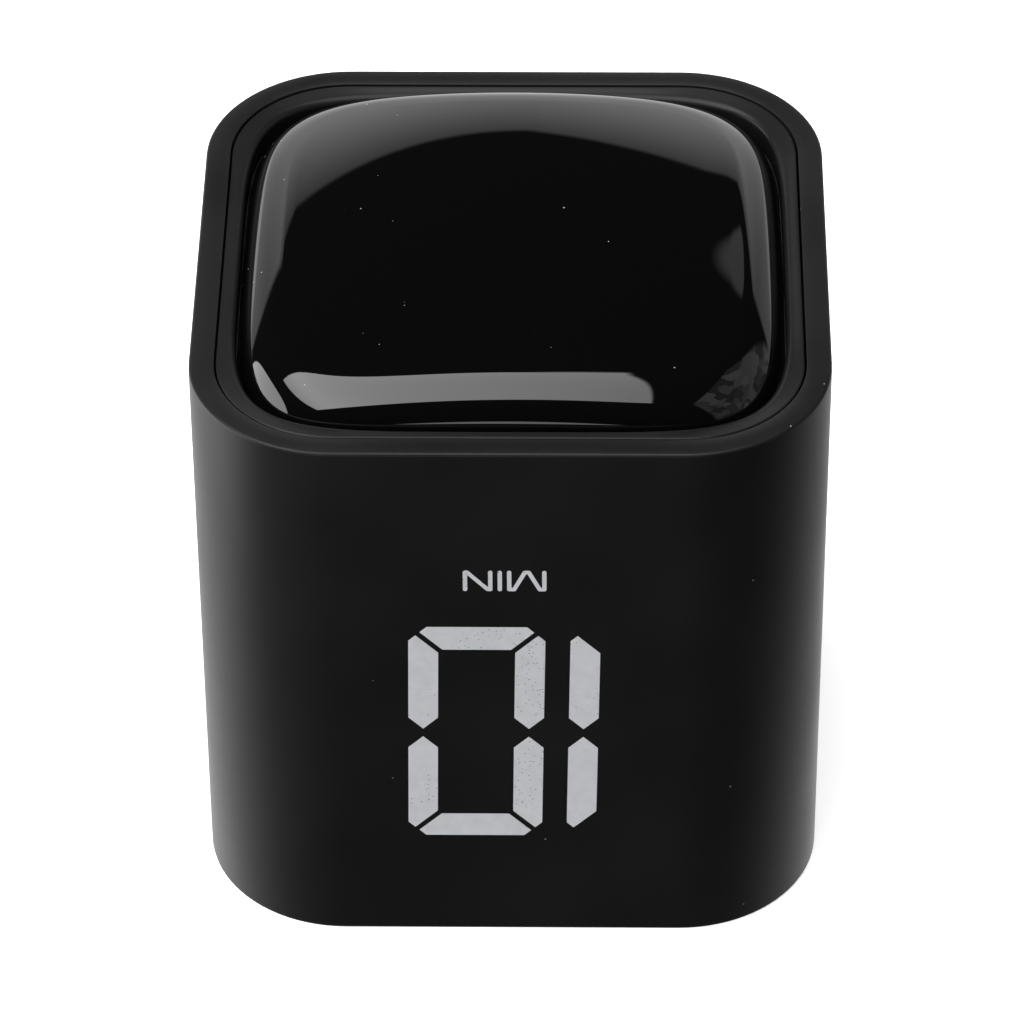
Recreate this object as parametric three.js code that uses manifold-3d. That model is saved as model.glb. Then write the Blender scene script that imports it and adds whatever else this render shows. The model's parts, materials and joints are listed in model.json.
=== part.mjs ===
// Gravity-sensing cube timer.
// A rounded cube with a preset time on each of its four side faces. It is laid with the wanted time
// upwards, tilt switches inside read which face that is, and hidden LED digits behind the domed lens
// count down. The model stands on its back cover with the lens upwards.
// Frame: millimetres, +X right, +Y away from the front face, +Z up through the lens.
// The origin is the centre of the case's footprint.
import * as THREE from "three";
import { mergeVertices } from "three/addons/utils/BufferGeometryUtils.js";
import Module from "manifold-3d";

const wasm = await Module();
wasm.setup();

// ---------------------------------------------------------------- driving dimensions
const CASE = 63; // width, depth and height of the case
const CASE_R = 14.4; // radius of its four upright corners
const WALL = 2.5;
const EDGE = 0.35; // small bevel on the case's rims
const FIT = 0.2; // gap round each piece let into the case
const CAVITY = CASE - 2 * WALL;
const CAVITY_R = CASE_R - WALL;
const INSERT = CAVITY - 2 * FIT; // outline of the pieces let into either end
const INSERT_R = CAVITY_R - FIT;

// The lens is a squircle in plan. Its crown is part of a sphere, and an arc of edgeRadius lets it down
// into the upright side, so that the side is lower at the corners than in the middle.
const LENS = {
  half: 26.85,
  exponent: 5.3,
  edgeRadius: 4.25,
  crownRadius: 140,
  apexZ: CASE + 4.9,
  thickness: 2,
  flangeHalf: 27.85,
  flangeTop: 59.5,
  flangeBottom: 58.1,
};
const BEZEL = {
  top: CASE - 0.05,
  bottom: 54.6,
  opening: LENS.half + 0.35,
  lipBottom: 60.1,
  recessHalf: 28.1,
  slopeDrop: 0.25, // how far the band slopes down before it turns into the opening
  shoulder: 0.65,
};
const SNAP = { width: 8, z: 57, half: 0.5, proud: 0.5 };
const LEDGE = { z0: 51, z1: 52.6, inset: 1.6 };
const FRAME_PLATE = { z0: 52.8, z1: 54.4 };
const PCB = { size: 50, radius: 6, z0: 47.8, z1: 49.4 };
const PCB_SCREW = { x: 21.5, y: 20 };
const DISPLAY = { width: 50.3, depth: 19, z0: 49.7, z1: 57.7, face: 0.8, wall: 0.8 };
const PIN = { pitch: 2.54, rowY: 7.62, perRow: 6 };

const COVER = { z0: 0.5, z1: 2.5 };
const CASE_SCREW = 23.2; // case screws stand at plus and minus this in X and Y
const BAY = { x: 26, y0: -5.5, y1: 17.5, top: 14.4, wall: 1.2 };
const CELL = { radius: 5.25, length: 44.5, z: 8.6, y: [0.5, 11.5], shift: 2.3 };
const DOOR = { gap: 0.25, z0: COVER.z0, z1: 2.3, hookX: 14, hookWidth: 5 };
const SWITCH = { x: 11, y: -16.5, travel: 4, screwOffset: 8, plateZ: 5 };
const SOUNDER = { x: -12, y: -16.5, ringRadius: 8.9, discRadius: 8.5, z: 4.55 };
const TILT = { radius: 2.4, length: 6.6, wall: 0.25, ball: 1.7 };
const PLUG = { x: 12, y: -19, width: 6, depth: 4.5 };
const WIRE_R = 0.5;

// ---------------------------------------------------------------- materials
const finish = (color, roughness, metalness = 0) =>
  new THREE.MeshStandardMaterial({ color, roughness, metalness });
const matteBlack = finish(0x1b1b1c, 0.55);
const satinBlack = finish(0x161617, 0.35);
const smokedAcrylic = finish(0x050506, 0.04);
const whitePlastic = finish(0xd8d8d4, 0.5);
const redEpoxy = finish(0xb9463c, 0.35);
const circuitBoard = finish(0x1c5a38, 0.45);
const chipBlack = finish(0x131313, 0.5);
const steel = finish(0xb8babd, 0.3, 1);
const nickel = finish(0xc9c4b6, 0.28, 1);
const brass = finish(0xc79a4b, 0.35, 1);
const foam = finish(0x222222, 0.95);
const ceramic = finish(0xd9d5c9, 0.5);
const cellWrap = finish(0x2d4f7c, 0.4);
const redWire = finish(0xa61f1b, 0.45);
const blackWire = finish(0x111111, 0.45);

// ---------------------------------------------------------------- solids
const root = new THREE.Group();

// A closed three.js geometry as a manifold solid.
function solid(geometry) {
  const bare = geometry.clone();
  bare.deleteAttribute("normal");
  bare.deleteAttribute("uv");
  const merged = mergeVertices(bare, 1e-4);
  const made = new wasm.Mesh({
    numProp: 3,
    vertProperties: new Float32Array(merged.attributes.position.array),
    triVerts: new Uint32Array(merged.index.array),
  });
  return new wasm.Manifold(made);
}

// A manifold solid as a flat-shaded three.js geometry.
function geometryOf(body) {
  const { vertProperties, triVerts } = body.getMesh();
  const geometry = new THREE.BufferGeometry();
  geometry.setAttribute("position", new THREE.BufferAttribute(vertProperties, 3));
  geometry.setIndex(new THREE.BufferAttribute(triVerts, 1));
  const flat = geometry.toNonIndexed();
  flat.computeVertexNormals();
  return flat;
}

function place(name, body, material, parent = root) {
  const mesh = new THREE.Mesh(geometryOf(body), material);
  mesh.name = name;
  parent.add(mesh);
  return mesh;
}

const union = (...bodies) => bodies.reduce((whole, body) => whole.add(body));
const cut = (body, ...tools) => tools.reduce((left, tool) => left.subtract(tool), body);

function roundedRectangle(width, depth, radius) {
  const x = width / 2 - radius;
  const y = depth / 2 - radius;
  const quarter = Math.PI / 2;
  const shape = new THREE.Shape();
  shape.absarc(x, y, radius, 0, quarter);
  shape.absarc(-x, y, radius, quarter, 2 * quarter);
  shape.absarc(-x, -y, radius, 2 * quarter, 3 * quarter);
  shape.absarc(x, -y, radius, 3 * quarter, 4 * quarter);
  shape.closePath();
  return shape;
}

// A shape in XY raised from z0 to z1, with an optional bevel that stays inside those limits.
function prism(shape, z0, z1, { bevel = 0, curveSegments = 8 } = {}) {
  const geometry = new THREE.ExtrudeGeometry(shape, {
    depth: z1 - z0 - 2 * bevel,
    curveSegments,
    bevelEnabled: bevel > 0,
    bevelSize: bevel,
    bevelThickness: bevel,
    bevelOffset: -bevel,
    bevelSegments: 1,
  });
  return solid(geometry.translate(0, 0, z0 + bevel));
}

const roundedPrism = (width, depth, radius, z0, z1, options) =>
  prism(roundedRectangle(width, depth, radius), z0, z1, options);

function box(x0, x1, y0, y1, z0, z1) {
  const geometry = new THREE.BoxGeometry(x1 - x0, y1 - y0, z1 - z0);
  return solid(geometry.translate((x0 + x1) / 2, (y0 + y1) / 2, (z0 + z1) / 2));
}

// A box centred on x and y.
const block = (x, y, width, depth, z0, z1) =>
  box(x - width / 2, x + width / 2, y - depth / 2, y + depth / 2, z0, z1);

function cylinder(x, y, radius, z0, z1, sides = 16) {
  const geometry = new THREE.CylinderGeometry(radius, radius, z1 - z0, sides);
  return solid(geometry.rotateX(Math.PI / 2).translate(x, y, (z0 + z1) / 2));
}

// A profile of [radius, z] pairs, listed from the bottom up the outside, turned about Z.
function turnedGeometry(profile, sides) {
  const points = profile.map(([radius, z]) => new THREE.Vector2(radius, z));
  return new THREE.LatheGeometry(points, sides).rotateX(Math.PI / 2);
}
const turned = (profile, sides = 24) => solid(turnedGeometry(profile, sides));

// How far the lens's crown has fallen at a distance from its apex.
const crownFall = (distance) => LENS.crownRadius - Math.sqrt(LENS.crownRadius ** 2 - distance ** 2);

// The same, with each circle drawn out into a squircle of equal half width. What lies above domedFrom
// is also let down by the fall of the lens's crown.
function squircled(profile, { sides = 36, domedFrom = Infinity } = {}) {
  const geometry = turnedGeometry([...profile, profile[0]], sides);
  const position = geometry.attributes.position;
  for (let i = 0; i < position.count; i++) {
    const radius = Math.hypot(position.getX(i), position.getY(i));
    if (radius < 1e-6) continue;
    const drawnOut = (along) => {
      const share = along / radius;
      return radius * Math.sign(share) * Math.abs(share) ** (2 / LENS.exponent);
    };
    const x = drawnOut(position.getX(i));
    const y = drawnOut(position.getY(i));
    const z = position.getZ(i);
    position.setXYZ(i, x, y, z > domedFrom ? z - crownFall(Math.hypot(x, y)) : z);
  }
  return solid(geometry);
}

const squirclePrism = (half, z0, z1) =>
  squircled([
    [0, z0],
    [half, z0],
    [half, z1],
    [0, z1],
  ]);

// A six-sided wire of the given radius along a curve.
function wireAlong(curve, radius, steps) {
  const corners = [];
  for (let i = 0; i < 6; i++) {
    const turn = (i * Math.PI) / 3;
    corners.push(new THREE.Vector2(radius * Math.cos(turn), radius * Math.sin(turn)));
  }
  const extrusion = { steps, extrudePath: curve, bevelEnabled: false };
  return solid(new THREE.ExtrudeGeometry(new THREE.Shape(corners), extrusion));
}

// ---------------------------------------------------------------- case and front
function outerCase() {
  const shell = roundedPrism(CASE, CASE, CASE_R, 0, CASE, { bevel: EDGE });
  const cavity = roundedPrism(CAVITY, CAVITY, CAVITY_R, -1, CASE + 1);
  const opening = CAVITY - 2 * LEDGE.inset;
  const ledge = cut(
    roundedPrism(CAVITY + 1, CAVITY + 1, CAVITY_R + 0.5, LEDGE.z0, LEDGE.z1),
    roundedPrism(opening, opening, CAVITY_R - LEDGE.inset, LEDGE.z0 - 1, LEDGE.z1 + 1),
  );
  let body = cut(shell, cavity).add(ledge);
  for (const sx of [-1, 1])
    for (const sy of [-1, 1]) {
      const x = sx * CASE_SCREW;
      const y = sy * CASE_SCREW;
      body = body.add(cylinder(x, y, 3.6, 5.7, 20)).subtract(cylinder(x, y, 1, 5, 18, 8));
    }
  return cut(body, ...snapBlocks(SNAP.proud + 0.1, SNAP.width + 0.6, SNAP.half + 0.2));
}

// The four small bars of the bezel's snap fit, or the grooves that take them.
function snapBlocks(proud, width, half) {
  const inner = INSERT / 2 - 0.4;
  const outer = INSERT / 2 + proud;
  const [z0, z1] = [SNAP.z - half, SNAP.z + half];
  const w = width / 2;
  return [
    box(inner, outer, -w, w, z0, z1),
    box(-outer, -inner, -w, w, z0, z1),
    box(-w, w, inner, outer, z0, z1),
    box(-w, w, -outer, -inner, z0, z1),
  ];
}

function frontBezel() {
  const ring = roundedPrism(INSERT, INSERT, INSERT_R, BEZEL.bottom, BEZEL.top);
  const throat = BEZEL.top - BEZEL.slopeDrop;
  const round = [];
  for (let i = 0; i <= 3; i++) {
    const turn = (i / 3) * (Math.PI / 2);
    round.push([
      BEZEL.opening + BEZEL.shoulder * (1 - Math.cos(turn)),
      throat - BEZEL.shoulder * (1 - Math.sin(turn)),
    ]);
  }
  const mouth = squircled([
    [0, BEZEL.bottom - 1],
    [BEZEL.opening, BEZEL.bottom - 1],
    ...round,
    [INSERT / 2 + 0.1, BEZEL.top],
    [INSERT / 2 + 0.1, BEZEL.top + 1],
    [0, BEZEL.top + 1],
  ]);
  const recess = squirclePrism(BEZEL.recessHalf, BEZEL.bottom - 1, BEZEL.lipBottom);
  const body = cut(ring, mouth, recess);
  return union(body, ...snapBlocks(SNAP.proud, SNAP.width, SNAP.half));
}

// The dome's outline from the apex to where the side is upright, moved inwards by inset and given
// before its crown's fall.
function domeProfile(inset, crownSteps, edgeSteps) {
  const edge = LENS.edgeRadius - inset;
  const shoulder = LENS.half - LENS.edgeRadius;
  const top = LENS.apexZ - inset;
  const points = [];
  for (let i = 0; i < crownSteps; i++) points.push([(shoulder * i) / crownSteps, top]);
  for (let i = 0; i <= edgeSteps; i++) {
    const turn = ((Math.PI / 2) * i) / edgeSteps;
    points.push([shoulder + edge * Math.sin(turn), top - edge * (1 - Math.cos(turn))]);
  }
  return points;
}

function displayLens() {
  const inside = domeProfile(LENS.thickness, 3, 3);
  const outside = domeProfile(0, 4, 6).reverse();
  const inner = LENS.half - LENS.thickness;
  const profile = [
    ...inside,
    [inner, LENS.flangeBottom],
    [LENS.flangeHalf, LENS.flangeBottom],
    [LENS.flangeHalf, LENS.flangeTop],
    [LENS.half, LENS.flangeTop],
    ...outside,
  ];
  return squircled(profile, { domedFrom: LENS.flangeTop + 1 });
}

function lensGasket() {
  const [z0, z1] = [LENS.flangeTop + 0.05, BEZEL.lipBottom - 0.05];
  return squircled([
    [BEZEL.opening, z0],
    [LENS.flangeHalf, z0],
    [LENS.flangeHalf, z1],
    [BEZEL.opening, z1],
  ]);
}

// ---------------------------------------------------------------- display and circuit board
function displayFrame() {
  const plate = roundedPrism(INSERT, INSERT, INSERT_R, FRAME_PLATE.z0, FRAME_PLATE.z1);
  const upstand = cut(
    squirclePrism(BEZEL.recessHalf - 0.35, FRAME_PLATE.z1 - 0.2, LENS.flangeBottom - 0.1),
    squirclePrism(DISPLAY.width / 2 + 0.6, FRAME_PLATE.z0, LENS.flangeBottom + 1),
  );
  const window = block(0, 0, DISPLAY.width + 0.6, DISPLAY.depth + 0.6, 50, 60);
  let body = cut(union(plate, upstand), window);
  for (const sy of [-1, 1]) {
    const slot = roundedPrism(30, 6, 2.9, FRAME_PLATE.z0 - 1, FRAME_PLATE.z1 + 1);
    body = body.subtract(slot.translate([0, sy * 18, 0]));
  }
  for (const sx of [-1, 1])
    for (const sy of [-1, 1]) {
      const [x, y] = [sx * PCB_SCREW.x, sy * PCB_SCREW.y];
      body = body.add(cylinder(x, y, 2.6, PCB.z1 + 0.1, FRAME_PLATE.z0 + 0.2, 12));
      body = body.subtract(cylinder(x, y, 0.95, PCB.z1, FRAME_PLATE.z1 - 0.5, 8));
    }
  return body;
}

// The seven bars of a figure eight centred on cx, as six-sided shapes.
function digitShapes(cx, width, height, stroke, gap) {
  const bar = (x, y, length, upright) => {
    const [l, t] = [length / 2, stroke / 2];
    const outline = [
      [-l, 0],
      [-l + t, t],
      [l - t, t],
      [l, 0],
      [l - t, -t],
      [-l + t, -t],
    ];
    const turned90 = outline.map(([u, v]) => new THREE.Vector2(x - v, y + u));
    const level = outline.map(([u, v]) => new THREE.Vector2(x + u, y + v));
    return new THREE.Shape(upright ? turned90 : level);
  };
  const across = width - stroke;
  const half = (height - stroke) / 2;
  const shapes = [-1, 0, 1].map((k) => bar(cx, k * half, across - gap, false));
  for (const sx of [-1, 1])
    for (const sy of [-1, 1])
      shapes.push(bar(cx + (sx * across) / 2, (sy * half) / 2, half - gap, true));
  return shapes;
}

function displayShapes(grow) {
  const shapes = [];
  for (const k of [-1.5, -0.5, 0.5, 1.5])
    shapes.push(...digitShapes(k * 12.7, 8 + grow, 14.2 + grow, 1.7 + grow, 0.6));
  return shapes;
}

// The bars of four figure eights and the colon between the middle two, raised from z0 to z1.
function displayBars(grow, z0, z1) {
  const bars = displayShapes(grow).map((shape) => prism(shape, z0, z1));
  const dots = [-3, 3].map((y) => cylinder(0, y, 0.8 + grow / 2, z0, z1, 8));
  return [...bars, ...dots];
}

function displayHousing() {
  const { width, depth, z0, z1, face, wall } = DISPLAY;
  const outside = block(0, 0, width, depth, z0, z1);
  const inside = block(0, 0, width - 2 * wall, depth - 2 * wall, z0 - 1, z1 - face);
  return cut(outside, inside, ...displayBars(0.2, z1 - face - 0.5, z1 + 1));
}

function displaySegments() {
  const { width, depth, z1, face, wall } = DISPLAY;
  const back = z1 - face - 0.8;
  const film = block(0, 0, width - 2 * wall - 0.4, depth - 2 * wall - 0.4, back, back + 0.7);
  return union(film, ...displayBars(0, back + 0.5, z1 - 0.1));
}

function displayPinPlaces() {
  const places = [];
  for (const sy of [-1, 1])
    for (let i = 0; i < PIN.perRow; i++)
      places.push([(i - (PIN.perRow - 1) / 2) * PIN.pitch, sy * PIN.rowY]);
  return places;
}

function displaySubstrate() {
  const { width, depth, z0, wall } = DISPLAY;
  const board = block(0, 0, width - 2 * wall - 0.4, depth - 2 * wall - 0.4, z0 + 0.3, z0 + 1.5);
  const pins = displayPinPlaces().map(([x, y]) => block(x, y, 0.5, 0.5, PCB.z0 - 1.4, z0 + 0.6));
  return union(board, ...pins);
}

function mainPcb() {
  let board = roundedPrism(PCB.size, PCB.size, PCB.radius, PCB.z0, PCB.z1, { curveSegments: 3 });
  for (const [x, y] of displayPinPlaces())
    board = board.subtract(cylinder(x, y, 0.5, PCB.z0 - 1, PCB.z1 + 1, 6));
  for (const sx of [-1, 1])
    for (const sy of [-1, 1]) {
      const hole = cylinder(sx * PCB_SCREW.x, sy * PCB_SCREW.y, 1.2, PCB.z0 - 1, PCB.z1 + 1, 8);
      board = board.subtract(hole);
    }
  return board;
}

// A pan-head screw with its head's top at z 0 and its shank upwards.
function screw(headRadius, headHeight, shankRadius, length, sides = 10) {
  const profile = [
    [0, 0],
    [headRadius * 0.6, 0],
    [headRadius, headHeight * 0.55],
    [headRadius, headHeight],
    [shankRadius, headHeight],
    [shankRadius, headHeight + length - shankRadius],
    [0, headHeight + length],
  ];
  const [arm, width] = [headRadius * 0.55, headRadius * 0.22];
  const cross = union(
    block(0, 0, 2 * arm, width, -1, headHeight * 0.45),
    block(0, 0, width, 2 * arm, -1, headHeight * 0.45),
  );
  return turned(profile, sides).subtract(cross);
}

function mcuChip() {
  const top = PCB.z0 - 0.15;
  const [x, y] = [0, 15];
  const leads = [];
  for (const side of [-1, 1])
    for (let i = 0; i < 7; i++) {
      const leadX = x + (i - 3) * 1.27;
      leads.push(block(leadX, y + side * 4.2, 0.42, 1.3, top - 1.2, top - 0.9));
      leads.push(block(leadX, y + side * 5, 0.42, 0.7, top - 1.2, top));
    }
  return union(block(x, y, 9.8, 7.5, top - 2.3, top - 0.2), ...leads);
}

function crystalCan() {
  const top = PCB.z0 - 0.1;
  const base = roundedPrism(11, 4.6, 2.2, top - 0.5, top, { curveSegments: 3 });
  const can = roundedPrism(10.2, 3.8, 1.8, top - 3.4, top - 0.4, { curveSegments: 3 });
  return union(base, can).translate([-14, 15, 0]);
}

function capacitor() {
  const top = PCB.z0 - 0.1;
  const [x, y] = [14, 14];
  const base = block(x, y, 6.6, 6.6, top - 1, top);
  const can = turned([
    [0, top - 7.6],
    [2.7, top - 7.6],
    [3.15, top - 7.2],
    [3.15, top - 2],
    [2.9, top - 1.7],
    [3.15, top - 1.4],
    [3.15, top - 0.9],
    [0, top - 0.9],
  ], 14);
  return union(can.translate([x, y, 0]), base);
}

// ---------------------------------------------------------------- tilt switches
// Each is modelled along its own +Z, open end and leads at the top, and turned into place by a group.
function tiltCan() {
  const bore = cylinder(0, 0, TILT.radius - TILT.wall, TILT.wall, TILT.length + 1);
  return cylinder(0, 0, TILT.radius, 0, TILT.length).subtract(bore);
}

function tiltBase(leadLength, bend) {
  const inner = TILT.radius - TILT.wall - 0.1;
  const plug = cylinder(0, 0, inner, TILT.length - 1.4, TILT.length + 0.3);
  const leads = [-1, 1].map((side) => {
    const top = TILT.length + leadLength;
    const straight = block(0, side * 1, 0.45, 0.45, TILT.length, top);
    if (bend === 0) return straight;
    return straight.add(block(bend / 2, side, Math.abs(bend), 0.45, top - 0.45, top));
  });
  return union(plug, ...leads);
}

function tiltSwitch(suffix, position, rotation, leadLength, bend) {
  const group = new THREE.Group();
  group.position.copy(position);
  group.rotation.copy(rotation);
  root.add(group);
  place(`tilt_can_${suffix}`, tiltCan(), brass, group);
  place(`tilt_base_${suffix}`, tiltBase(leadLength, bend), chipBlack, group);
  const rest = TILT.wall + TILT.ball + 0.05;
  const ball = solid(new THREE.SphereGeometry(TILT.ball, 12, 6)).translate([0, 0, rest]);
  place(`tilt_ball_${suffix}`, ball, steel, group);
}

function tiltSwitches() {
  const lyingZ = PCB.z0 - 0.3 - TILT.radius;
  const quarter = Math.PI / 2;
  const lead = 1.2;
  const bend = TILT.radius + 0.2;
  const lay = (turn) => new THREE.Euler(0, quarter, turn, "ZYX");
  tiltSwitch("left", new THREE.Vector3(-16, -8, lyingZ), lay(quarter / 2), lead, -bend);
  tiltSwitch("right", new THREE.Vector3(16, -8, lyingZ), lay(3 * (quarter / 2)), lead, -bend);
  const standing = new THREE.Vector3(0, -15, PCB.z0 - 0.4 - TILT.length - 0.4);
  tiltSwitch("upright", standing, new THREE.Euler(0, 0, 0), 0.7, 0);
}

// ---------------------------------------------------------------- back cover and power
function backCover() {
  const { x: bx, y0, y1, top, wall } = BAY;
  const plate = roundedPrism(INSERT, INSERT, INSERT_R, COVER.z0, COVER.z1);
  const tub = box(-bx - wall, bx + wall, y0 - wall, y1 + wall, COVER.z0, top + wall);
  let body = union(plate, tub);
  const seat = cylinder(SOUNDER.x, SOUNDER.y, SOUNDER.ringRadius, COVER.z0, SOUNDER.z - 0.05, 20);
  const hollow = cylinder(SOUNDER.x, SOUNDER.y, SOUNDER.ringRadius - 1.5, COVER.z1, 10, 20);
  body = body.add(seat).subtract(hollow);
  for (const side of [-1, 1]) {
    const x = SWITCH.x + side * SWITCH.screwOffset;
    body = body.add(cylinder(x, SWITCH.y, 2.2, COVER.z0, SWITCH.plateZ - 0.1, 12));
    body = body.subtract(cylinder(x, SWITCH.y, 0.8, COVER.z1 + 0.1, 10, 8));
  }
  for (const sx of [-1, 1])
    for (const sy of [-1, 1]) {
      const [x, y] = [sx * CASE_SCREW, sy * CASE_SCREW];
      body = body.add(cylinder(x, y, 3.4, COVER.z0, 5.5, 12));
      body = cut(body, cylinder(x, y, 2.35, 0, 3.2, 24), cylinder(x, y, 1.2, 0, 10, 12));
    }
  body = body.subtract(box(-bx, bx, y0, y1, -1, top));
  body = cut(body, ...doorPockets(), ...switchSlots(), ...sounderHoles(), ...tabSlots());
  return body.intersect(roundedPrism(INSERT, INSERT, INSERT_R, 0, 30));
}

// Where the door's hooks and its latch reach into the bay's long walls.
function doorPockets() {
  const { y0, y1, wall } = BAY;
  const hooks = [-1, 1].map((side) =>
    block(side * DOOR.hookX, y1 + wall / 2, DOOR.hookWidth + 1, wall + 1, COVER.z1, 5.4),
  );
  return [...hooks, block(0, y0 - wall / 2, 8, wall + 0.4, 3, 5.6)];
}

function switchSlots() {
  const { x, y, travel } = SWITCH;
  const dish = roundedPrism(16, 8, 3, COVER.z0 - 1, COVER.z0 + 0.8);
  return [
    block(x, y, travel + 4.8, 3, 0, COVER.z1 + 1),
    dish.translate([x, y, 0]),
  ];
}

function sounderHoles() {
  const holes = [cylinder(SOUNDER.x, SOUNDER.y, 0.9, 0, 4, 14)];
  for (let i = 0; i < 6; i++) {
    const turn = (i * Math.PI) / 3;
    const [x, y] = [SOUNDER.x + 4 * Math.cos(turn), SOUNDER.y + 4 * Math.sin(turn)];
    holes.push(cylinder(x, y, 0.9, 0, 4, 14));
  }
  return holes;
}

// Where the two wired contacts' tabs pass through the top of the bay.
const tabSlots = () =>
  CELL.y.map((y) => box(BAY.x - 0.8, BAY.x, y - 1.4, y + 1.4, BAY.top - 1, BAY.top + BAY.wall + 1));

function batteryDoor() {
  const { gap, z0, z1, hookX, hookWidth } = DOOR;
  const [y0, y1] = [BAY.y0 + gap, BAY.y1 - gap];
  let body = box(-BAY.x + gap, BAY.x - gap, y0, y1, z0, z1);
  for (const side of [-1, 1]) {
    const x = side * hookX;
    body = body.add(block(x, y1 - 0.85, hookWidth, 1.2, z1 - 0.1, 4.2));
    body = body.add(block(x, y1 + 0.2, hookWidth, 2.1, 2.9, 4.2));
    body = body.add(block(x, 6, 1.2, 16, z1 - 0.1, z1 + 0.6));
    body = body.subtract(block(side * 5, y0 + 3, 0.8, 6, z0 - 1, z1 + 1));
  }
  body = body.add(block(0, y0 + 0.9, 7, 0.9, z1 - 0.1, 5.2));
  body = body.add(block(0, y0 + 0.4, 7, 0.5, 3.3, 4));
  for (let i = 0; i < 3; i++)
    body = body.subtract(block(0, y0 + 2 + 1.5 * i, 7, 0.7, z0 - 1, z0 + 0.4));
  return body;
}

// A cell along X with its raised contact towards +X, centred on its length.
function cell() {
  const { radius, length } = CELL;
  const profile = [
    [0, -length / 2],
    [3.4, -length / 2],
    [radius - 0.4, -length / 2 + 0.3],
    [radius, -length / 2 + 0.8],
    [radius, length / 2 - 2],
    [radius - 0.7, length / 2 - 1.2],
    [1.9, length / 2 - 1.2],
    [1.7, length / 2],
    [0, length / 2],
  ];
  return solid(turnedGeometry(profile, 18).rotateY(Math.PI / 2));
}

function cells() {
  CELL.y.forEach((y, i) => {
    const mesh = place(`battery_cell_${i + 1}`, cell(), cellWrap);
    const side = i === 0 ? 1 : -1;
    mesh.position.set(side * CELL.shift, y, CELL.z);
    mesh.rotation.z = i === 0 ? 0 : Math.PI;
  });
}

const CONTACT = { thickness: 0.3, wide: 9.2, z0: 4, z1: 13.2 };

// A contact plate against the bay's end wall on the given side of X, over a run of Y.
function contactPlate(side, yLow, yHigh) {
  const outer = BAY.x - 0.05;
  const inner = outer - CONTACT.thickness;
  const [x0, x1] = side > 0 ? [inner, outer] : [-outer, -inner];
  return box(x0, x1, yLow, yHigh, CONTACT.z0, CONTACT.z1);
}

const dimple = (side, y) => {
  const inner = BAY.x - 0.05 - CONTACT.thickness;
  const cone = new THREE.CylinderGeometry(1.6, 2.4, 1, 12);
  cone.rotateZ((side * Math.PI) / 2).translate(side * (inner - 0.4), y, CELL.z);
  return solid(cone);
};

const solderTab = (y) => {
  const outer = BAY.x - 0.05;
  return box(outer - CONTACT.thickness, outer, y - 1, y + 1, CONTACT.z1 - 0.2, 18);
};

// A tapering coil from the contact plate on the given side to the end of its cell.
function contactSpring(side, y) {
  const start = BAY.x - 0.05 - CONTACT.thickness - 0.45;
  const end = CELL.length / 2 - CELL.shift + 0.5;
  class Coil extends THREE.Curve {
    getPoint(t, target = new THREE.Vector3()) {
      const turn = 2.5 * 2 * Math.PI * t;
      const radius = 3.8 - 1.4 * t;
      const along = start + (end - start) * t;
      return target.set(side * along, y + radius * Math.cos(turn), CELL.z + radius * Math.sin(turn));
    }
  }
  return wireAlong(new Coil(), 0.35, 25);
}

function contacts() {
  const half = CONTACT.wide / 2;
  const [first, second] = CELL.y;
  const positive = union(contactPlate(1, first - half, first + half), dimple(1, first), solderTab(first));
  const negative = union(contactPlate(1, second - half, second + half), solderTab(second));
  const bridge = union(contactPlate(-1, first - half, second + half), dimple(-1, second));
  place("contact_positive", positive, nickel);
  place("contact_negative", negative, nickel);
  place("contact_bridge", bridge, nickel);
  place("contact_spring_negative", contactSpring(1, second), nickel);
  place("contact_spring_bridge", contactSpring(-1, first), nickel);
}

// ---------------------------------------------------------------- slide switch and sounder
function switchFrame() {
  const { x, y, plateZ, travel, screwOffset } = SWITCH;
  const plate = roundedPrism(19.5, 6, 1, plateZ, plateZ + 0.5, { curveSegments: 2 }).translate([x, y, 0]);
  const can = block(x, y, 12.6, 6, plateZ, 9.6);
  let body = union(plate, can).subtract(block(x, y, 11.8, 5.2, plateZ + 0.5, 12));
  body = body.subtract(block(x, y, travel + 4.6, 3, plateZ - 1, plateZ + 1));
  for (const side of [-1, 1])
    body = body.subtract(cylinder(x + side * screwOffset, y, 1, plateZ - 1, plateZ + 1, 12));
  return body;
}

function switchBase() {
  const { x, y } = SWITCH;
  const pins = [-2.5, 0, 2.5].map((dx) => block(x + dx, y, 0.8, 0.4, 9, 12.6));
  return union(block(x, y, 11.6, 5, 8.6, 9.5), ...pins);
}

function switchLever() {
  const { y, plateZ, travel } = SWITCH;
  const x = SWITCH.x - travel / 2;
  const ridges = [-1.4, 0, 1.4].map((dx) => block(x + dx, y, 0.6, 2.2, 0.55, 1));
  return union(
    block(x, y, 7, 4.6, plateZ + 0.8, 8.3),
    block(x, y, 4, 2.4, 0.8, plateZ + 1),
    ...ridges,
  );
}

// A plug on a short run of wires, and the header on the board that it pushes into.
function connector(name, x) {
  const { y, width, depth } = PLUG;
  const top = PCB.z0 - 0.1;
  const well = block(x, y, width - 1.2, depth - 1.2, top - 5, top - 0.8);
  place(`${name}_header`, block(x, y, width, depth, top - 4.4, top).subtract(well), whitePlastic);
  const body = union(
    block(x, y, width - 1.6, depth - 1.6, top - 4.6, top - 1),
    block(x, y, width - 0.4, depth - 0.4, top - 8, top - 4.5),
  );
  place(`${name}_plug`, body, whitePlastic);
}

// A wire through the given points.
function wire(name, material, points) {
  const curve = new THREE.CatmullRomCurve3(points.map(([x, y, z]) => new THREE.Vector3(x, y, z)));
  place(name, wireAlong(curve, WIRE_R, 16), material);
}

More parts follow.
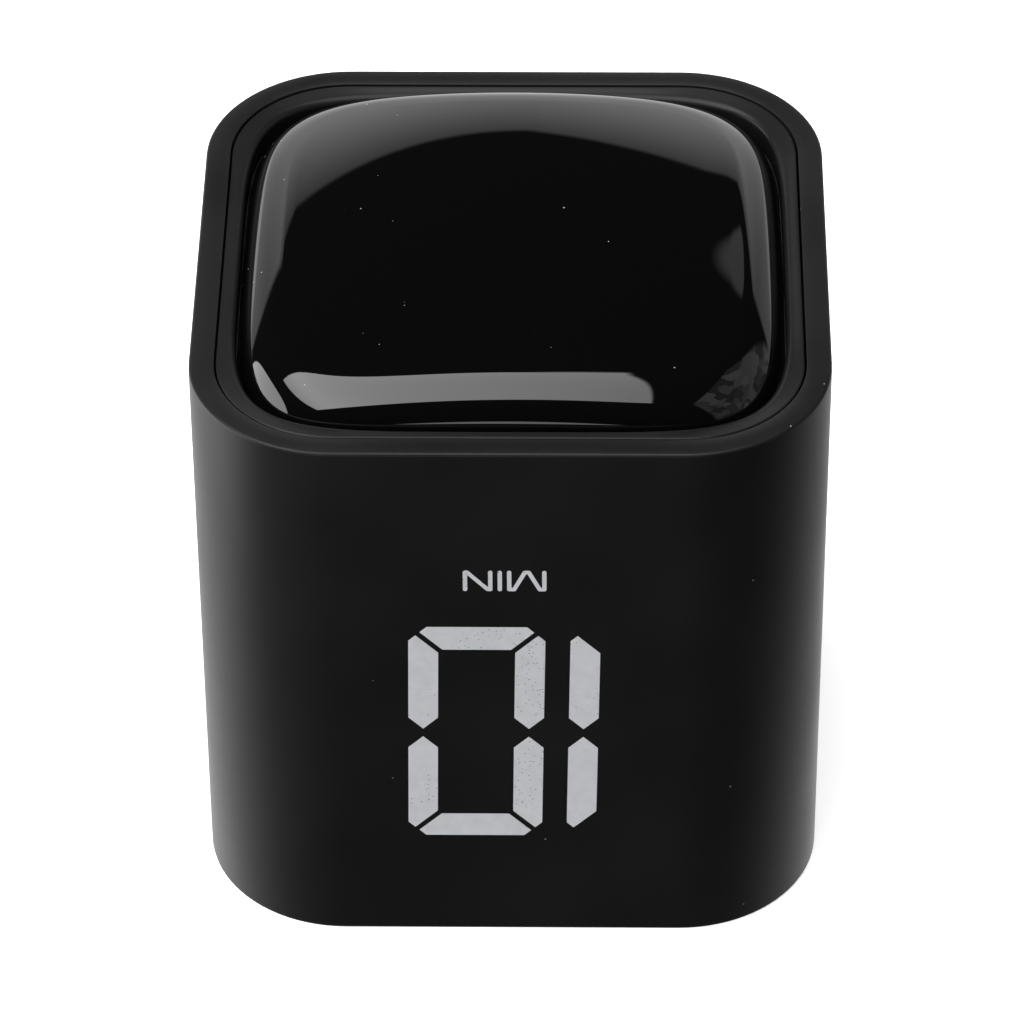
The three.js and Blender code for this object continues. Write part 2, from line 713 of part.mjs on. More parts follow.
function wires() {
  const plugZ = PCB.z0 - 0.1 - 8 - 0.1;
  const tabX = BAY.x - 0.05 - CONTACT.thickness - WIRE_R - 0.1;
  const pinTop = 12.6 + WIRE_R + 0.15;
  const [first, second] = CELL.y;
  wire("battery_wire_red", redWire, [
    [tabX, first, 16.4],
    [tabX - 0.3, first, 19],
    [tabX - 2.5, first - 4, 21],
    [SWITCH.x + 8, SWITCH.y + 6, 19],
    [SWITCH.x + 4.4, SWITCH.y + 0.5, 15.6],
    [SWITCH.x + 2.6, SWITCH.y, pinTop],
  ]);
  wire("battery_wire_black", blackWire, [
    [tabX, second, 16.4],
    [tabX - 0.3, second, 20],
    [tabX - 3, second - 5, 26],
    [18, -10, 31],
    [PLUG.x + 1.5, PLUG.y - 0.4, 35],
    [PLUG.x + 1.3, PLUG.y, plugZ],
  ]);
  wire("switch_wire", redWire, [
    [SWITCH.x, SWITCH.y, pinTop],
    [SWITCH.x - 0.6, SWITCH.y - 1.6, 17],
    [SWITCH.x - 3, SWITCH.y - 3, 24],
    [PLUG.x - 2, PLUG.y - 1, 32],
    [PLUG.x - 1.3, PLUG.y, plugZ],
  ]);
  wire("sounder_wire_red", redWire, [
    [SOUNDER.x, SOUNDER.y, 5.4],
    [SOUNDER.x - 0.4, SOUNDER.y - 0.6, 9],
    [SOUNDER.x - 3.5, SOUNDER.y - 2, 18],
    [SOUNDER.x - 1.5, PLUG.y, 32],
    [SOUNDER.x - 1.3, PLUG.y, plugZ],
  ]);
  wire("sounder_wire_black", blackWire, [
    [SOUNDER.x + 1, SOUNDER.y + 7.2, 5.15],
    [SOUNDER.x + 1.2, SOUNDER.y + 6.8, 9],
    [SOUNDER.x + 4, SOUNDER.y + 1, 18],
    [SOUNDER.x + 2, PLUG.y, 31],
    [SOUNDER.x + 1.3, PLUG.y, plugZ],
  ]);
}

// ---------------------------------------------------------------- assembly
function screws() {
  let count = 0;
  for (const sx of [-1, 1])
    for (const sy of [-1, 1]) {
      count += 1;
      const caseScrew = place(`case_screw_${count}`, screw(2.1, 1.6, 0.9, 9, 20), steel);
      caseScrew.position.set(sx * CASE_SCREW, sy * CASE_SCREW, 1.5);
      const pcbScrew = place(`pcb_screw_${count}`, screw(1.9, 1.3, 0.85, 5.5), steel);
      pcbScrew.position.set(sx * PCB_SCREW.x, sy * PCB_SCREW.y, PCB.z0 - 1.4);
    }
  [-1, 1].forEach((side, i) => {
    const switchScrew = place(`switch_screw_${i + 1}`, screw(1.5, 1.1, 0.7, 2.6), steel);
    switchScrew.rotation.x = Math.PI;
    const top = SWITCH.plateZ + 0.5 + 0.1 + 1.1;
    switchScrew.position.set(SWITCH.x + side * SWITCH.screwOffset, SWITCH.y, top);
  });
}

place("outer_case", outerCase(), matteBlack);
place("front_bezel", frontBezel(), satinBlack);
place("display_lens", displayLens(), smokedAcrylic);
place("lens_gasket", lensGasket(), foam);
place("display_frame", displayFrame(), whitePlastic);
place("display_housing", displayHousing(), chipBlack);
place("display_segments", displaySegments(), redEpoxy);
place("display_substrate", displaySubstrate(), circuitBoard);
place("main_pcb", mainPcb(), circuitBoard);
place("mcu_chip", mcuChip(), chipBlack);
place("crystal", crystalCan(), steel);
place("capacitor", capacitor(), steel);
tiltSwitches();
place("back_cover", backCover(), matteBlack);
place("battery_door", batteryDoor(), matteBlack);
cells();
contacts();
place("switch_frame", switchFrame(), steel);
place("switch_base", switchBase(), chipBlack);
place("switch_lever", switchLever(), matteBlack);
place("sounder_disc", cylinder(SOUNDER.x, SOUNDER.y, SOUNDER.discRadius, SOUNDER.z, 4.8, 24), brass);
place("sounder_ceramic", cylinder(SOUNDER.x, SOUNDER.y, 6, 4.85, 5.05, 20), ceramic);
connector("power", PLUG.x);
connector("sounder", -PLUG.x);
wires();
screws();

export default root;
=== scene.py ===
import json
import math

import bmesh
import bpy
from mathutils import Matrix, Vector


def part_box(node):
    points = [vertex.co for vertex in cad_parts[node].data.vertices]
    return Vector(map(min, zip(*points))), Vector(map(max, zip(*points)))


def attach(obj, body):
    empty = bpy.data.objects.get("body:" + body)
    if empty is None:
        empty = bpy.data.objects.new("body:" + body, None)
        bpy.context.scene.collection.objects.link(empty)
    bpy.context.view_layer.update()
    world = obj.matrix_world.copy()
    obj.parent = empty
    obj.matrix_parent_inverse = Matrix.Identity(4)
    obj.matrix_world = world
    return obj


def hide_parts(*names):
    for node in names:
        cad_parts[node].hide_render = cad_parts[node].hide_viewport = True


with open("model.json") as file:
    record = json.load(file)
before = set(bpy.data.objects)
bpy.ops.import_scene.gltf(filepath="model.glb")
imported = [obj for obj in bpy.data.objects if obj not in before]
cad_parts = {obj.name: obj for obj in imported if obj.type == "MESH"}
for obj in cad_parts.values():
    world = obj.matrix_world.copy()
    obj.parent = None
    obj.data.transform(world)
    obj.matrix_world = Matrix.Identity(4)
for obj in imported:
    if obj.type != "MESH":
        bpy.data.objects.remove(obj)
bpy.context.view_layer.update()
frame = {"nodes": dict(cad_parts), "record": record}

# A gravity-sensing cube timer, standing on its back cover with its domed lens upwards.
# Lengths below are in millimetres unless a name says otherwise; meshes are made in metres.
MM = 0.001

# ---------------------------------------------------------------- dimensions
CASE_LOW, CASE_HIGH = (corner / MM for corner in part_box("outer_case"))
CASE_HALF = CASE_HIGH.x
CASE_TOP = CASE_HIGH.z
CASE_R = 14.4
WALL = 2.5
RIM_ROUND = 0.3
BORE_ROUND = 0.12  # where the cavity meets the rims
LEDGE_LOW, LEDGE_HIGH, LEDGE_INSET = 51.0, 52.6, 1.6
INK = 0.015  # how far the ink stands out; the case is let in by as much
INK_STEP = 0.001  # strokes that meet differ in height by this, so that no two faces coincide

CAVITY = CASE_HALF - WALL
INSERT_HALF = CAVITY - 0.2
INSERT_R = CASE_R - WALL - 0.2

SQUIRCLE = 5.3  # exponent of the lens's outline and of the opening round it
LENS_HALF = 26.85
LENS_EDGE_R = 4.25
LENS_CROWN_R = 140.0
LENS_TOP = CASE_TOP + 4.9
LENS_WALL = 2.0
FLANGE_HALF = 27.85
FLANGE_HIGH, FLANGE_LOW = 59.5, 58.1

BEZEL_OPENING = LENS_HALF + 0.35
BEZEL_TOP = CASE_TOP - 0.05
BEZEL_SHOULDER = 0.65
BEZEL_DROP = 0.25  # how far the band slopes down before it turns into the opening
BEZEL_EDGE, BEZEL_EDGE_FALL = 0.12, 0.02  # the break of the bezel's outer edge
BAND_INSET, BAND_FALL = 0.3, 0.05  # where the band starts to slope, in from the side and below the top
RECESS_HALF = 28.1
BEZEL_LOW, LIP_LOW = 54.6, 60.1

FACE_MIDDLE = CASE_TOP / 2
ROUND_STEPS = 240
SHARP_ANGLE = math.radians(32)  # edges steeper than this are shaded sharp
WELD_DISTANCE = 1e-6  # in metres


# ---------------------------------------------------------------- mesh building
def rounded_square(half, radius, z):
    """Points round a square with rounded corners, evenly spaced in angle."""
    centre = half - radius
    points = []
    for i in range(ROUND_STEPS):
        turn = 2 * math.pi * i / ROUND_STEPS
        c, s = abs(math.cos(turn)), abs(math.sin(turn))
        reach = half / max(c, s)
        if min(c, s) * reach > centre:
            along = centre * (c + s)
            reach = along + math.sqrt(along**2 - 2 * centre**2 + radius**2)
        points.append((reach * math.cos(turn), reach * math.sin(turn), z))
    return points


def squircle(half, z, domed=False):
    """Points round a squircle; domed ones are let down by the fall of the lens's crown."""
    points = []
    for i in range(ROUND_STEPS):
        turn = 2 * math.pi * i / ROUND_STEPS
        c, s = math.cos(turn), math.sin(turn)
        reach = half * (abs(c) ** SQUIRCLE + abs(s) ** SQUIRCLE) ** (-1 / SQUIRCLE)
        fall = LENS_CROWN_R - math.sqrt(LENS_CROWN_R**2 - reach**2) if domed else 0.0
        points.append((reach * c, reach * s, z - fall))
    return points


def arc(centre_u, centre_z, radius, start, end, steps):
    """Points [u, z] on an arc; angles in degrees from +u towards +z."""
    points = []
    for i in range(steps + 1):
        turn = math.radians(start + (end - start) * i / steps)
        points.append((centre_u + radius * math.cos(turn), centre_z + radius * math.sin(turn)))
    return points


def loft(mesh, rings, closed=False):
    """Skins rings of equal length into a bmesh. An open run is capped at both ends."""
    loops = [[mesh.verts.new(Vector(p) * MM) for p in ring] for ring in rings]
    count = len(loops[0])
    spans = list(zip(loops, loops[1:] + loops[:1])) if closed else list(zip(loops, loops[1:]))
    for low, high in spans:
        for i in range(count):
            j = (i + 1) % count
            mesh.faces.new((low[i], low[j], high[j], high[i]))
    if not closed:
        mesh.faces.new(list(reversed(loops[0])))
        mesh.faces.new(loops[-1])


def finish_mesh(mesh, name, material, replaced=()):
    """Makes the bmesh an object that rides on the timer's body and stands for CAD nodes."""
    bmesh.ops.recalc_face_normals(mesh, faces=mesh.faces)
    data = bpy.data.meshes.new(name)
    mesh.to_mesh(data)
    mesh.free()
    data.materials.append(material)
    data.shade_smooth()
    data.set_sharp_from_angle(angle=SHARP_ANGLE)
    made = bpy.data.objects.new(name, data)
    bpy.context.scene.collection.objects.link(made)
    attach(made, "timer")
    if replaced:
        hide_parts(*replaced)
    return made


# ---------------------------------------------------------------- materials
class Nodes:
    """Short calls for building one material's nodes."""

    def __init__(self, name):
        self.material = bpy.data.materials.new(name)
        self.material.use_nodes = True
        self.tree = self.material.node_tree
        self.shader = self.tree.nodes["Principled BSDF"]
        coordinates = self.tree.nodes.new("ShaderNodeTexCoord")
        self.object = coordinates.outputs["Object"]
        self.generated = coordinates.outputs["Generated"]

    def put(self, kind, inputs, **settings):
        node = self.tree.nodes.new("ShaderNode" + kind)
        for key, value in settings.items():
            setattr(node, key, value)
        for key, value in inputs.items():
            self.set(node.inputs[key], value)
        return node

    def set(self, socket, value):
        if isinstance(value, bpy.types.NodeSocket):
            self.tree.links.new(value, socket)
        else:
            socket.default_value = value

    def shade(self, **inputs):
        for key, value in inputs.items():
            self.set(self.shader.inputs[key.replace("_", " ")], value)

    def noise(self, scale, detail=3.0, roughness=0.5, vector=None):
        node = self.put("TexNoise", {"Vector": vector or self.object, "Scale": scale,
                                     "Detail": detail, "Roughness": roughness})
        return node.outputs["Fac"]

    def voronoi(self, scale):
        node = self.put("TexVoronoi", {"Vector": self.object, "Scale": scale})
        return node.outputs["Distance"]

    def window(self, value, low, high, out_low=0.0, out_high=1.0):
        node = self.put("MapRange", {0: value, 1: low, 2: high, 3: out_low, 4: out_high})
        return node.outputs[0]

    def math(self, operation, first, second=0.0):
        return self.put("Math", {0: first, 1: second}, operation=operation).outputs[0]

    def blend(self, factor, first, second):
        node = self.put("Mix", {}, data_type="RGBA")
        self.set(node.inputs["Factor"], factor)
        self.set(node.inputs[6], first)
        self.set(node.inputs[7], second)
        return node.outputs[2]

    def bump(self, height, distance_mm):
        node = self.put("Bump", {"Height": height, "Distance": distance_mm * MM, "Strength": 1.0})
        self.set(self.shader.inputs["Normal"], node.outputs[0])

    def specks(self, cell_mm, size, share):
        """1 on scattered dots: one in some cells of a grid, a share of which are filled."""
        cell = self.put("TexVoronoi", {"Vector": self.object, "Scale": 1000 / cell_mm})
        dot = self.window(cell.outputs["Distance"], size, size * 0.6)
        red = self.put("SeparateColor", {0: cell.outputs["Color"]}).outputs[0]
        return self.math("MULTIPLY", dot, self.math("LESS_THAN", red, share))


PLASTIC_SHEEN = 0.18  # specular level of the black mouldings


def grey(value):
    return (value, value, value * 1.02, 1.0)


def moulded_plastic(name, shade, roughness, grain_mm, grain_depth, dust=0.0):
    """Moulded plastic with a fine spark-eroded grain, faint patches and a little dust."""
    n = Nodes(name)
    patches = n.noise(60, 3)
    grain = n.noise(1000 / grain_mm, 2)
    base = n.blend(n.window(patches, 0.35, 0.65), grey(shade * 0.85), grey(shade * 1.15))
    if dust:
        base = n.blend(n.specks(1.7, 0.065, dust), base, grey(0.25))
    n.shade(Base_Color=base, Specular_IOR_Level=PLASTIC_SHEEN,
            Roughness=n.window(patches, 0.3, 0.7, roughness - 0.03, roughness + 0.03))
    n.bump(grain, grain_depth)
    return n.material


def gloss_lens():
    """Polished smoked acrylic: black, with dust lying on it, most of it on the left."""
    n = Nodes("lens_smoke")
    haze = n.noise(35, 4)
    from_left = n.put("SeparateXYZ", {0: n.object}).outputs[0]
    crowd = n.window(from_left, -0.019, -0.009, 0.3, 0.01)
    patchy = n.window(n.noise(150, 1), 0.45, 0.62, 0.02, 1.0)
    fine = n.specks(0.8, 0.11, n.math("MULTIPLY", crowd, patchy))
    large = n.specks(4.0, 0.032, 0.3)
    dust = n.math("MAXIMUM", fine, large)
    n.shade(Base_Color=n.blend(dust, grey(0.0016), grey(0.3)),
            Roughness=n.math("ADD", n.window(haze, 0.3, 0.7, 0.012, 0.025), n.math("MULTIPLY", dust, 0.5)),
            IOR=1.5)
    n.bump(n.noise(12, 1), 0.004)
    return n.material


def printed_ink():
    """Screen-printed white ink with pinholes that show the black under it."""
    n = Nodes("white_ink")
    mottled = n.noise(900, 3)
    cloud = n.window(n.noise(170, 2), 0.47, 0.6)
    holes = n.specks(0.36, 0.22, n.math("MULTIPLY", cloud, 0.8))
    base = n.blend(n.window(mottled, 0.3, 0.7), (0.63, 0.64, 0.665, 1), (0.69, 0.70, 0.725, 1))
    n.shade(Base_Color=n.blend(holes, base, (0.16, 0.16, 0.17, 1)),
            Roughness=n.window(mottled, 0, 1, 0.5, 0.62))
    n.bump(n.noise(1400, 2), 0.006)
    return n.material


def metal(name, colour, roughness, streaks=(1, 1, 1), scale=400.0, depth_mm=0.003):
    """Plated or drawn metal: its scale is squeezed along streaks to give a grain direction."""
    n = Nodes(name)
    stretched = n.put("Mapping", {"Vector": n.object, "Scale": streaks}).outputs[0]
    fine = n.noise(scale, 4, 0.6, stretched)
    tarnish = n.window(n.noise(90, 3), 0.4, 0.75)
    dark = tuple(c * 0.72 for c in colour[:3]) + (1,)
    n.shade(Base_Color=n.blend(tarnish, colour, dark), Metallic=1.0,
            Roughness=n.window(fine, 0.2, 0.8, roughness * 0.7, roughness * 1.4))
    n.bump(fine, depth_mm)
    return n.material


def plain_plastic(name, colour, roughness=0.45, grain=700.0):
    n = Nodes(name)
    tone = n.window(n.noise(140, 3), 0.3, 0.7)
    dark = tuple(c * 0.85 for c in colour[:3]) + (1,)
    n.shade(Base_Color=n.blend(tone, colour, dark),
            Roughness=n.window(n.noise(300, 2), 0, 1, roughness - 0.06, roughness + 0.06))
    n.bump(n.noise(grain, 2), 0.004)
    return n.material


def circuit_board():
    """Green solder mask over tracks, with bright pads where the mask is open."""
    n = Nodes("solder_mask")
    bricks = {"Vector": n.object, "Scale": 210.0, "Mortar Size": 0.07, "Mortar Smooth": 0.1}
    tones = {"Color1": (0, 0, 0, 1), "Color2": (0.2, 0.2, 0.2, 1), "Mortar": (1, 1, 1, 1)}
    tracks = n.put("TexBrick", {**bricks, **tones})
    run = n.put("RGBToBW", {0: tracks.outputs["Color"]}).outputs[0]
    mask = n.blend(run, (0.012, 0.09, 0.035, 1), (0.03, 0.17, 0.07, 1))
    pads = n.specks(2.2, 0.22, 0.25)
    n.shade(Base_Color=n.blend(pads, mask, (0.7, 0.68, 0.62, 1)), Metallic=pads,
            Roughness=n.window(n.noise(500, 2), 0, 1, 0.25, 0.4))
    n.bump(n.math("MAXIMUM", run, pads), 0.03)
    return n.material


def cell_wrap(name, positive_end):
    """A dry cell's printed film, with bare metal at both ends."""
    n = Nodes(name)
    along = n.put("SeparateXYZ", {0: n.generated}).outputs[0]
    if positive_end < 0:
        along = n.math("SUBTRACT", 1.0, along)
    film = n.blend(n.math("GREATER_THAN", along, 0.72), (0.012, 0.012, 0.014, 1), (0.42, 0.2, 0.05, 1))
    stripe = n.math("COMPARE", along, 0.70)
    stripe.node.inputs[2].default_value = 0.008
    film = n.blend(stripe, film, (0.6, 0.6, 0.6, 1))
    ends = n.math("MAXIMUM", n.math("GREATER_THAN", along, 0.955), n.math("LESS_THAN", along, 0.016))
    scuffs = n.window(n.noise(500, 4), 0.62, 0.7)
    film = n.blend(scuffs, film, (0.3, 0.3, 0.3, 1))
    n.shade(Base_Color=n.blend(ends, film, (0.6, 0.6, 0.6, 1)), Metallic=ends,
            Roughness=n.window(n.noise(200, 2), 0, 1, 0.22, 0.38))
    n.bump(n.noise(900, 2), 0.004)
    return n.material


def wire_sleeve(name, colour):
    n = Nodes(name)
    ribs = n.noise(800, 2)
    n.shade(Base_Color=n.blend(ribs, colour, tuple(c * 0.6 for c in colour[:3]) + (1,)),
            Roughness=n.window(ribs, 0, 1, 0.35, 0.55))
    n.bump(ribs, 0.01)
    return n.material


def foam():
    n = Nodes("foam_cells")
    pores = n.voronoi(2200)
    # The pits in the middle of each cell are painted darker than the cell walls: painted shade in the pores.
    n.shade(Base_Color=n.blend(n.window(pores, 0, 0.5), grey(0.004), grey(0.025)),
            Roughness=n.window(pores, 0, 1, 0.85, 1.0))
    n.bump(pores, 0.08)
    return n.material


case_plastic = moulded_plastic("case_plastic", 0.0075, 0.36, 0.28, 0.008, dust=0.05)
bezel_plastic = moulded_plastic("bezel_plastic", 0.008, 0.33, 0.5, 0.004)
cover_plastic = moulded_plastic("cover_plastic", 0.009, 0.45, 0.28, 0.012)
lens_smoke = gloss_lens()
ink = printed_ink()

finishes = {
    "matte_black_abs": cover_plastic,
    "black_foam": foam(),
    "white_abs": plain_plastic("white_abs", (0.68, 0.68, 0.64, 1)),
    "display_black": plain_plastic("display_black", (0.011, 0.011, 0.012, 1), 0.6),
    "segment_epoxy": plain_plastic("segment_epoxy", (0.5, 0.09, 0.07, 1), 0.35, 1500),
    "circuit_board": circuit_board(),
    "component_black": plain_plastic("component_black", (0.014, 0.014, 0.015, 1), 0.5, 2500),
    "steel": metal("zinc_plate", (0.62, 0.63, 0.65, 1), 0.28),
    "aluminium_can": metal("aluminium_can", (0.72, 0.72, 0.74, 1), 0.3, (1, 1, 8)),
    "brass": metal("bright_brass", (0.75, 0.5, 0.2, 1), 0.26, (1, 1, 6)),
    "nickel_spring": metal("nickel_plate", (0.66, 0.63, 0.56, 1), 0.22),
    "piezo_ceramic": plain_plastic("piezo_ceramic", (0.62, 0.6, 0.54, 1), 0.4, 2000),
    "red_wire": wire_sleeve("red_sleeve", (0.42, 0.015, 0.012, 1)),
    "black_wire": wire_sleeve("black_sleeve", (0.012, 0.012, 0.012, 1)),
}


# ---------------------------------------------------------------- CAD nodes that stay
def smoothing_group():
    """A geometry-nodes group that welds a mesh and shades it smooth up to 32 degrees."""
    group = bpy.data.node_groups.new("smooth_by_angle", "GeometryNodeTree")
    group.interface.new_socket("Geometry", in_out="INPUT", socket_type="NodeSocketGeometry")
    group.interface.new_socket("Geometry", in_out="OUTPUT", socket_type="NodeSocketGeometry")
    nodes, links = group.nodes, group.links
    start = nodes.new("NodeGroupInput")
    weld = nodes.new("GeometryNodeMergeByDistance")
    weld.inputs["Distance"].default_value = WELD_DISTANCE
    faces = nodes.new("GeometryNodeSetShadeSmooth")
    faces.domain = "FACE"
    edges = nodes.new("GeometryNodeSetShadeSmooth")
    edges.domain = "EDGE"
    edges.inputs["Shade Smooth"].default_value = False
    angle = nodes.new("GeometryNodeInputMeshEdgeAngle")
    steep = nodes.new("FunctionNodeCompare")
    steep.operation = "GREATER_THAN"
    steep.inputs["B"].default_value = SHARP_ANGLE
    end = nodes.new("NodeGroupOutput")
    links.new(start.outputs[0], weld.inputs["Geometry"])
    links.new(weld.outputs[0], faces.inputs["Geometry"])
    links.new(faces.outputs[0], edges.inputs["Geometry"])
    links.new(angle.outputs["Unsigned Angle"], steep.inputs["A"])
    links.new(steep.outputs[0], edges.inputs["Selection"])
    links.new(edges.outputs[0], end.inputs[0])
    return group


BEVELLED = {"back_cover": 0.12, "battery_door": 0.15, "switch_lever": 0.1}  # bevel widths in mm


def bevel_edges(node, width_mm):
    """Broken edges: the flat faces are rejoined and their sharp edges get a small bevel."""
    weld = node.modifiers.new("weld", "WELD")
    weld.merge_threshold = WELD_DISTANCE
    flats = node.modifiers.new("flats", "DECIMATE")
    flats.decimate_type = "DISSOLVE"
    flats.angle_limit = math.radians(1)
    bevel = node.modifiers.new("bevel", "BEVEL")
    bevel.width = width_mm * MM
    bevel.segments = 1
    bevel.limit_method = "ANGLE"
    bevel.angle_limit = math.radians(40)
    bevel.use_clamp_overlap = True


def dress_cad_nodes():
    group = smoothing_group()
    slots = {row["node"]: row["material_slot"] for row in frame["record"]["subparts"]}
    wraps = {
        "battery_cell_1": cell_wrap("cell_film_1", 1),
        "battery_cell_2": cell_wrap("cell_film_2", -1),
    }
    for name, node in frame["nodes"].items():
        material = wraps.get(name) or finishes.get(slots[name], cover_plastic)
        node.data.materials.clear()
        node.data.materials.append(material)
        if name in BEVELLED:
            bevel_edges(node, BEVELLED[name])
        smooth = node.modifiers.new("smooth", "NODES")
        smooth.node_group = group


dress_cad_nodes()


# ---------------------------------------------------------------- case, bezel and lens
def make_case():
    half = CASE_HALF - INK
    outer = [(half - RIM_ROUND, 0.0)]
    outer += arc(half - RIM_ROUND, RIM_ROUND, RIM_ROUND, -90, 0, 4)[1:]
    outer += arc(half - RIM_ROUND, CASE_TOP - RIM_ROUND, RIM_ROUND, 0, 90, 4)
    ledge = CAVITY - LEDGE_INSET
    inner = arc(CAVITY + BORE_ROUND, CASE_TOP - BORE_ROUND, BORE_ROUND, 90, 180, 2)
    inner += [(CAVITY, LEDGE_HIGH), (ledge, LEDGE_HIGH), (ledge, LEDGE_LOW), (CAVITY, LEDGE_LOW)]
    inner += arc(CAVITY + BORE_ROUND, BORE_ROUND, BORE_ROUND, 180, 270, 2)
    mesh = bmesh.new()
    loft(mesh, [rounded_square(u, CASE_R - (half - u), z) for u, z in outer + inner], closed=True)
    return finish_mesh(mesh, "case_shell", case_plastic, ["outer_case"])


def make_bezel():
    throat = BEZEL_TOP - BEZEL_DROP
    mesh = bmesh.new()
    rings = []
    for inset, z in ((0, BEZEL_LOW), (0, BEZEL_TOP - BEZEL_EDGE), (BEZEL_EDGE, BEZEL_TOP - BEZEL_EDGE_FALL)):
        rings.append(rounded_square(INSERT_HALF - inset, INSERT_R - inset, z))
    band = rounded_square(INSERT_HALF - BAND_INSET, INSERT_R - BAND_INSET, BEZEL_TOP - BAND_FALL)
    lip = squircle(BEZEL_OPENING + BEZEL_SHOULDER, throat)
    rings += [band]
    for share in (0.33, 0.66):
        rings.append([tuple(Vector(a).lerp(Vector(b), share)) for a, b in zip(band, lip)])
    shoulder = arc(BEZEL_OPENING + BEZEL_SHOULDER, throat - BEZEL_SHOULDER, BEZEL_SHOULDER, 90, 180, 6)
    rings += [squircle(u, z) for u, z in shoulder]
    rings += [squircle(BEZEL_OPENING, LIP_LOW), squircle(RECESS_HALF, LIP_LOW)]
    rings += [squircle(RECESS_HALF, BEZEL_LOW)]
    loft(mesh, rings, closed=True)
    return finish_mesh(mesh, "bezel_ring", bezel_plastic, ["front_bezel"])


def dome_rings(inset, crown_steps, edge_steps):
    """Rings down the dome from near its apex to the upright side, moved inwards by inset."""
    top, edge = LENS_TOP - inset, LENS_EDGE_R - inset
    shoulder = LENS_HALF - LENS_EDGE_R
    rings = [squircle(shoulder * i / crown_steps, top, domed=True) for i in range(1, crown_steps)]
    rings += [squircle(u, z, domed=True) for u, z in arc(shoulder, top - edge, edge, 90, 0, edge_steps)]
    return rings


def make_lens():
    mesh = bmesh.new()
    rings = dome_rings(0.0, 24, 18)
    rings += [squircle(LENS_HALF, FLANGE_HIGH), squircle(FLANGE_HALF, FLANGE_HIGH)]
    rings += [squircle(FLANGE_HALF, FLANGE_LOW), squircle(LENS_HALF - LENS_WALL, FLANGE_LOW)]
    rings += reversed(dome_rings(LENS_WALL, 6, 6))
    loft(mesh, rings)
    return finish_mesh(mesh, "lens_dome", lens_smoke, ["display_lens"])


make_case()
make_bezel()
make_lens()


# ---------------------------------------------------------------- printed numbers
DIGIT_W, DIGIT_H, STROKE = 13.52, 27.95, 2.96
DIGIT_PITCH = 16.0
DIGIT_SLANT = 0.0146  # sideways lean of the digits, per unit of height
MITRE_GAP, WAIST_GAP, TIP = 0.58, 1.05, 0.7
DIGIT_V, MIN_V = 4.4, -15.57
SEGMENTS = {"0": "abcdef", "1": "bc", "3": "abcdg", "5": "acdfg", "6": "acdefg"}


def corner_bar():
    """The top bar of a figure eight that is centred on the origin."""
    u, v = DIGIT_W / 2, DIGIT_H / 2
    gap = MITRE_GAP / math.sqrt(2)
    start = u - gap - TIP
    return [(start - TIP, v), (-start + TIP, v), (-start, v - TIP), (-u + STROKE + gap, v - STROKE),
            (u - STROKE - gap, v - STROKE), (start, v - TIP)]


def side_bar():
    """The upper right bar: mitred at the top, pointed at the waist."""
    u, v, half = DIGIT_W / 2, DIGIT_H / 2, STROKE / 2
    gap = MITRE_GAP / math.sqrt(2)
    waist = WAIST_GAP / 2
    return [(u, v - gap - 2 * TIP), (u - TIP, v - gap - TIP), (u - STROKE, v - gap - STROKE),
            (u - STROKE, waist + half), (u - half, waist), (u, waist + half)]


def waist_bar():
    reach, half = DIGIT_W / 2 - STROKE / 2 - WAIST_GAP / 2, STROKE / 2
    return [(-reach, 0), (-reach + half, half), (reach - half, half), (reach, 0),
            (reach - half, -half), (-reach + half, -half)]


def bar_outline(letter):
    """The outline of one of the bars a to g of a figure eight."""
    if letter == "g":
        return waist_bar()
    outline = corner_bar() if letter in "ad" else side_bar()
    flip_u = -1 if letter in "ef" else 1
    flip_v = -1 if letter in "cde" else 1
    return [(u * flip_u, v * flip_v) for u, v in outline]


def stroke(start, end, width):
    """The outline of a straight stroke with round ends."""
    heading = math.degrees(math.atan2(end[1] - start[1], end[0] - start[0]))
    head = arc(end[0], end[1], width / 2, heading - 90, heading + 90, 8)
    tail = arc(start[0], start[1], width / 2, heading + 90, heading + 270, 8)
    return head + tail


LETTER_H, LETTER_STROKE = 2.2, 0.43
ONE_SHIFT = -4.585  # a 1 fills only the right of its cell, so its pair of digits moves left
# The letters of MIN as runs of points: u in mm, v as a share of half their height.
LETTERS = [
    [(-3.43, -1), (-3.43, 1), (-2.98, 1), (-1.92, -1), (-1.53, -1), (-0.48, 1), (0.0, 1), (0.0, -1)],
    [(0.92, -1), (0.92, 1)],
    [(1.85, -1), (1.85, 1), (2.1, 1), (4.12, -1), (4.32, -1), (4.32, 1)],
]


def face_outlines(number):
    """Every outline printed on one face, in the reading direction's own u and v."""
    outlines = []
    start = (ONE_SHIFT if number[0] == "1" else 0.0) - (len(number) - 1) / 2 * DIGIT_PITCH
    for i, digit in enumerate(number):
        middle = start + i * DIGIT_PITCH
        for letter in SEGMENTS[digit]:
            bar = bar_outline(letter)
            outlines.append([(u + middle + DIGIT_SLANT * v, v + DIGIT_V) for u, v in bar])
    for line in LETTERS:
        points = [(u, MIN_V + v * LETTER_H / 2) for u, v in line]
        outlines += [stroke(a, b, LETTER_STROKE) for a, b in zip(points, points[1:])]
    return outlines


def make_print(name, number, face):
    """Ink on one side face. Face 0 is the front, and each next one is a quarter turn on."""
    mesh = bmesh.new()
    turn = Matrix.Rotation(math.radians(90 * face), 3, "Z")
    for i, outline in enumerate(face_outlines(number)):
        high = CASE_HALF - INK_STEP * (i % 3)
        rings = []
        for depth in (CASE_HALF - INK - 0.05, high):
            rings.append([turn @ Vector((-u, -depth, FACE_MIDDLE - v)) for u, v in outline])
        loft(mesh, rings)
    return finish_mesh(mesh, name, ink)


for face, number in enumerate(("10", "30", "60", "5")):
    make_print("print_" + number + "_min", number, face)


# ---------------------------------------------------------------- stage, light and camera
FLOOR_HALF = 4.0  # in metres
FLOOR_GLOW = 0.55  # lifts the table to white, as a well lit product sweep


